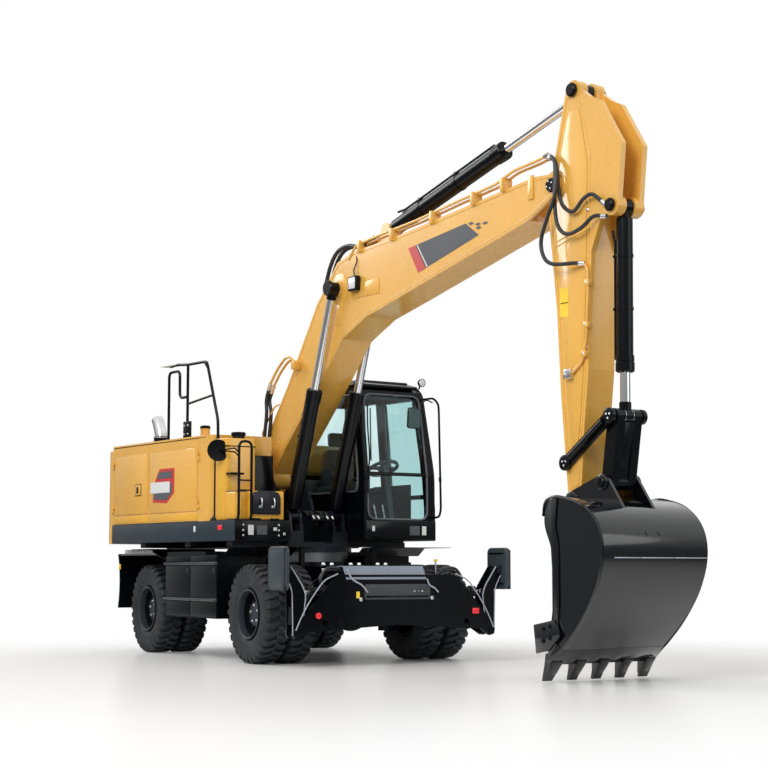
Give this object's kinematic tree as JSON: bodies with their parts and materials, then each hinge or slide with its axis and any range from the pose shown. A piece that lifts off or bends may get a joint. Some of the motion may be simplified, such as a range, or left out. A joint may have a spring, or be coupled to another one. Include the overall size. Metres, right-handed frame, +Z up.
{
  "type": "wheeled excavator",
  "caption": "Wheeled excavator with twin tyres, two stabiliser legs, a dozer blade, a slewing upper structure with cab, a raised one-piece boom, an arm and a toothed bucket.",
  "frame": {"origin": "on the ground, under the middle of the whole machine's bounding box as it stands", "axes": "+X along the undercarriage towards the end with the stabiliser legs, which the boom points at; +Y to the left; +Z up"},
  "size_m": [9.0253, 2.8946, 5.6049],
  "materials": {
    "body_paint": "gloss",
    "tank_paint": "gloss",
    "cab_paint": "gloss",
    "black_paint": "satin",
    "frame_grey": "satin",
    "wheel_grey": "satin",
    "tyre_rubber": "matte",
    "rod_chrome": "polished",
    "bearing_steel": "satin",
    "cab_glass": "clear",
    "seat_fabric": "woven",
    "cab_plastic": "matte",
    "exhaust_steel": "satin"
  },
  "bodies": {
    "chassis": {"chassis_frame": "black_paint", "stabiliser_frame": "black_paint", "swing_bearing": "bearing_steel", "toolboxes": "black_paint", "mudguards": "black_paint", "front_axle": "black_paint", "rear_axle": "black_paint"},
    "knuckle_left": {"knuckle_left": "black_paint"},
    "knuckle_right": {"knuckle_right": "black_paint"},
    "wheel_front_left": {"tyres_front_left": "tyre_rubber", "hub_front_left": "wheel_grey"},
    "wheel_front_right": {"tyres_front_right": "tyre_rubber", "hub_front_right": "wheel_grey"},
    "wheel_rear_left": {"tyres_rear_left": "tyre_rubber", "hub_rear_left": "wheel_grey"},
    "wheel_rear_right": {"tyres_rear_right": "tyre_rubber", "hub_rear_right": "wheel_grey"},
    "stabiliser_leg_left": {"stabiliser_leg_left": "black_paint"},
    "stabiliser_pad_left": {"stabiliser_pad_left": "frame_grey"},
    "stabiliser_barrel_left": {"stabiliser_barrel_left": "black_paint"},
    "stabiliser_rod_left": {"stabiliser_rod_left": "rod_chrome"},
    "stabiliser_leg_right": {"stabiliser_leg_right": "black_paint"},
    "stabiliser_pad_right": {"stabiliser_pad_right": "frame_grey"},
    "stabiliser_barrel_right": {"stabiliser_barrel_right": "black_paint"},
    "stabiliser_rod_right": {"stabiliser_rod_right": "rod_chrome"},
    "blade_arms": {"blade_arms": "black_paint"},
    "blade_links": {"blade_links": "black_paint"},
    "blade": {"blade": "black_paint"},
    "blade_barrels": {"blade_barrels": "black_paint"},
    "blade_rods": {"blade_rods": "rod_chrome"},
    "upper": {"upper_frame": "frame_grey", "counterweight": "body_paint", "engine": "black_paint", "hood": "body_paint", "tank_and_steps": "tank_paint", "handrails": "black_paint", "exhaust": "exhaust_steel", "cab_shell": "cab_paint", "cab_glass": "cab_glass", "operator_seat": "seat_fabric", "steering_column": "cab_plastic"},
    "cab_door": {"cab_door": "cab_paint", "door_glass": "cab_glass"},
    "hood_door_right_rear": {"hood_door_right_rear": "body_paint"},
    "hood_door_right_front": {"hood_door_right_front": "body_paint"},
    "hood_door_left": {"hood_door_left": "body_paint"},
    "boom": {"boom": "body_paint"},
    "boom_barrels": {"boom_barrels": "black_paint"},
    "boom_rods": {"boom_rods": "rod_chrome"},
    "arm": {"arm": "body_paint"},
    "arm_barrel": {"arm_barrel": "black_paint"},
    "arm_rod": {"arm_rod": "rod_chrome"},
    "bucket": {"bucket": "black_paint"},
    "bucket_barrel": {"bucket_barrel": "black_paint"},
    "bucket_rod": {"bucket_rod": "rod_chrome"},
    "idler_links": {"idler_links": "black_paint"},
    "bucket_link": {"bucket_link": "black_paint"}
  },
  "joints": [
    {"name": "swing", "type": "hinge", "parent": "chassis", "child": "upper", "pos_m": [-1.72278, 0.06048, 1.15], "axis": [0, 0, 1], "continuous": true},
    {"name": "boom_lift", "type": "hinge", "parent": "upper", "child": "boom", "pos_m": [-1.8629, -0.05295, 2.08], "axis": [0.0924, -0.9957, 0], "range_deg": [-60, 32]},
    {"name": "arm_swing", "type": "hinge", "parent": "boom", "child": "arm", "pos_m": [3.32483, 0.4283, 4.64], "axis": [-0.0924, 0.9957, 0], "range_deg": [-71, 28]},
    {"name": "bucket_curl", "type": "hinge", "parent": "arm", "child": "bucket", "pos_m": [3.55384, 0.44955, 1.64], "axis": [-0.0924, 0.9957, 0], "range_deg": [-30, 130]},
    {"name": "boom_barrel_pivot", "type": "hinge", "parent": "upper", "child": "boom_barrels", "pos_m": [-1.18581, 0.00987, 1.6], "axis": [0.0924, -0.9957, 0], "range_deg": [-61.35, 32.72]},
    {"name": "boom_rod_slide", "type": "slide", "parent": "boom_barrels", "child": "boom_rods", "axis": [0.3171, 0.0294, 0.9479], "range_m": [-0.82734, 0.44172]},
    {"name": "arm_barrel_pivot", "type": "hinge", "parent": "boom", "child": "arm_barrel", "pos_m": [0.38744, 0.15581, 4.7], "axis": [-0.0924, 0.9957, 0], "range_deg": [-2.4, 0.95]},
    {"name": "arm_rod_slide", "type": "slide", "parent": "arm_barrel", "child": "arm_rod", "axis": [0.9656, 0.0896, 0.244], "range_m": [-1.06003, 0.41865]},
    {"name": "bucket_barrel_pivot", "type": "hinge", "parent": "arm", "child": "bucket_barrel", "pos_m": [4.10149, 0.50035, 4.32], "axis": [-0.0924, 0.9957, 0], "range_deg": [-1.64, 0.39]},
    {"name": "bucket_rod_slide", "type": "slide", "parent": "bucket_barrel", "child": "bucket_rod", "axis": [-0.0155, -0.0014, -0.9999], "range_m": [-0.23508, 1.01535]},
    {"name": "idler_pivot", "type": "hinge", "parent": "arm", "child": "idler_links", "pos_m": [3.46423, 0.44124, 1.99], "axis": [-0.0924, 0.9957, 0], "range_deg": [-19.66, 85.15]},
    {"name": "bucket_link_pivot", "type": "hinge", "parent": "bucket", "child": "bucket_link", "pos_m": [3.97205, 0.48835, 1.79], "axis": [-0.0924, 0.9957, 0], "range_deg": [-80.2, 18.52]},
    {"name": "cab_door_hinge", "type": "hinge", "parent": "upper", "child": "cab_door", "pos_m": [-1.78758, 1.37612, 1.62], "axis": [0.0072, -0.0777, 0.9969], "range_deg": [0, 95]},
    {"name": "hood_door_right_rear_hinge", "type": "hinge", "parent": "upper", "child": "hood_door_right_rear", "pos_m": [-3.84382, -1.43383, 2.03], "axis": [0, 0, -1], "range_deg": [0, 95]},
    {"name": "hood_door_right_front_hinge", "type": "hinge", "parent": "upper", "child": "hood_door_right_front", "pos_m": [-1.67314, -1.23246, 2.03], "axis": [0, 0, 1], "range_deg": [0, 95]},
    {"name": "hood_door_left_hinge", "type": "hinge", "parent": "upper", "child": "hood_door_left", "pos_m": [-4.0825, 1.13912, 2.03], "axis": [0, 0, 1], "range_deg": [0, 95]},
    {"name": "steer_left", "type": "hinge", "parent": "chassis", "child": "knuckle_left", "pos_m": [-0.37278, 0.60048, 0.53], "axis": [0, 0, 1], "range_deg": [-28, 28]},
    {"name": "roll_front_left", "type": "hinge", "parent": "knuckle_left", "child": "wheel_front_left", "pos_m": [-0.37278, 1.02048, 0.53], "axis": [0, 1, 0], "continuous": true},
    {"name": "roll_rear_left", "type": "hinge", "parent": "chassis", "child": "wheel_rear_left", "pos_m": [-3.27278, 1.02048, 0.53], "axis": [0, 1, 0], "continuous": true},
    {"name": "stabiliser_leg_left_hinge", "type": "hinge", "parent": "chassis", "child": "stabiliser_leg_left", "pos_m": [0.57222, 1.23048, 0.35], "axis": [-1, 0, 0], "range_deg": [0, 102]},
    {"name": "stabiliser_pad_left_hinge", "type": "hinge", "parent": "stabiliser_leg_left", "child": "stabiliser_pad_left", "pos_m": [0.57222, 1.35048, 1], "axis": [-1, 0, 0], "range_deg": [-12.03, 0.01]},
    {"name": "stabiliser_barrel_left_pivot", "type": "hinge", "parent": "chassis", "child": "stabiliser_barrel_left", "pos_m": [0.57222, 0.39048, 0.82], "axis": [-1, 0, 0], "range_deg": [-0.01, 13.6]},
    {"name": "stabiliser_rod_left_slide", "type": "slide", "parent": "stabiliser_barrel_left", "child": "stabiliser_rod_left", "axis": [0, 0.9971, -0.0757], "range_m": [-0.001, 0.63007]},
    {"name": "steer_right", "type": "hinge", "parent": "chassis", "child": "knuckle_right", "pos_m": [-0.37278, -0.47952, 0.53], "axis": [0, 0, 1], "range_deg": [-28, 28]},
    {"name": "roll_front_right", "type": "hinge", "parent": "knuckle_right", "child": "wheel_front_right", "pos_m": [-0.37278, -0.89952, 0.53], "axis": [0, 1, 0], "continuous": true},
    {"name": "roll_rear_right", "type": "hinge", "parent": "chassis", "child": "wheel_rear_right", "pos_m": [-3.27278, -0.89952, 0.53], "axis": [0, 1, 0], "continuous": true},
    {"name": "stabiliser_leg_right_hinge", "type": "hinge", "parent": "chassis", "child": "stabiliser_leg_right", "pos_m": [0.57222, -1.10952, 0.35], "axis": [1, 0, 0], "range_deg": [0, 102]},
    {"name": "stabiliser_pad_right_hinge", "type": "hinge", "parent": "stabiliser_leg_right", "child": "stabiliser_pad_right", "pos_m": [0.57222, -1.22952, 1], "axis": [1, 0, 0], "range_deg": [-12.03, 0.01]},
    {"name": "stabiliser_barrel_right_pivot", "type": "hinge", "parent": "chassis", "child": "stabiliser_barrel_right", "pos_m": [0.57222, -0.26952, 0.82], "axis": [1, 0, 0], "range_deg": [-0.01, 13.6]},
    {"name": "stabiliser_rod_right_slide", "type": "slide", "parent": "stabiliser_barrel_right", "child": "stabiliser_rod_right", "axis": [0, -0.9971, -0.0757], "range_m": [-0.001, 0.63007]},
    {"name": "blade_lift", "type": "hinge", "parent": "chassis", "child": "blade_arms", "pos_m": [-3.87278, 0.06048, 0.5], "axis": [0, -1, 0], "range_deg": [0, 75]},
    {"name": "blade_link_pivot", "type": "hinge", "parent": "chassis", "child": "blade_links", "pos_m": [-3.87278, 0.06048, 0.76], "axis": [0, -1, 0], "range_deg": [-0.01, 75.05]},
    {"name": "blade_tilt", "type": "hinge", "parent": "blade_arms", "child": "blade", "pos_m": [-4.14275, 0.06048, 0.82174], "axis": [0, -1, 0], "range_deg": [-75.05, 0.01]},
    {"name": "blade_barrel_pivot", "type": "hinge", "parent": "chassis", "child": "blade_barrels", "pos_m": [-3.83778, 0.06048, 1.12], "axis": [0, -1, 0], "range_deg": [-0.01, 1.45]},
    {"name": "blade_rod_slide", "type": "slide", "parent": "blade_barrels", "child": "blade_rods", "axis": [-0.433, 0, -0.9014], "range_m": [-0.001, 0.3246]}
  ],
  "couplings": [
    {"joint": "boom_barrel_pivot", "follows": "boom_lift", "ratio": 1.0203},
    {"joint": "boom_rod_slide", "follows": "boom_lift", "m_per_rad": 0.7891},
    {"joint": "arm_barrel_pivot", "follows": "arm_swing", "ratio": 0.033598},
    {"joint": "arm_rod_slide", "follows": "arm_swing", "m_per_rad": 0.85462},
    {"joint": "bucket_barrel_pivot", "follows": "bucket_curl", "ratio": -0.012544},
    {"joint": "bucket_rod_slide", "follows": "bucket_curl", "m_per_rad": 0.44706},
    {"joint": "idler_pivot", "follows": "bucket_curl", "ratio": 0.65361},
    {"joint": "bucket_link_pivot", "follows": "bucket_curl", "ratio": -0.61561},
    {"joint": "stabiliser_pad_left_hinge", "follows": "stabiliser_leg_left_hinge", "ratio": -0.11765},
    {"joint": "stabiliser_barrel_left_pivot", "follows": "stabiliser_leg_left_hinge", "ratio": 0.13295},
    {"joint": "stabiliser_rod_left_slide", "follows": "stabiliser_leg_left_hinge", "m_per_rad": 0.35336},
    {"joint": "stabiliser_pad_right_hinge", "follows": "stabiliser_leg_right_hinge", "ratio": -0.11765},
    {"joint": "stabiliser_barrel_right_pivot", "follows": "stabiliser_leg_right_hinge", "ratio": 0.13295},
    {"joint": "stabiliser_rod_right_slide", "follows": "stabiliser_leg_right_hinge", "m_per_rad": 0.35336},
    {"joint": "steer_right", "follows": "steer_left", "ratio": 1},
    {"joint": "blade_link_pivot", "follows": "blade_lift", "ratio": 1},
    {"joint": "blade_tilt", "follows": "blade_lift", "ratio": -1},
    {"joint": "blade_barrel_pivot", "follows": "blade_lift", "ratio": 0.019149},
    {"joint": "blade_rod_slide", "follows": "blade_lift", "m_per_rad": 0.24721}
  ]
}
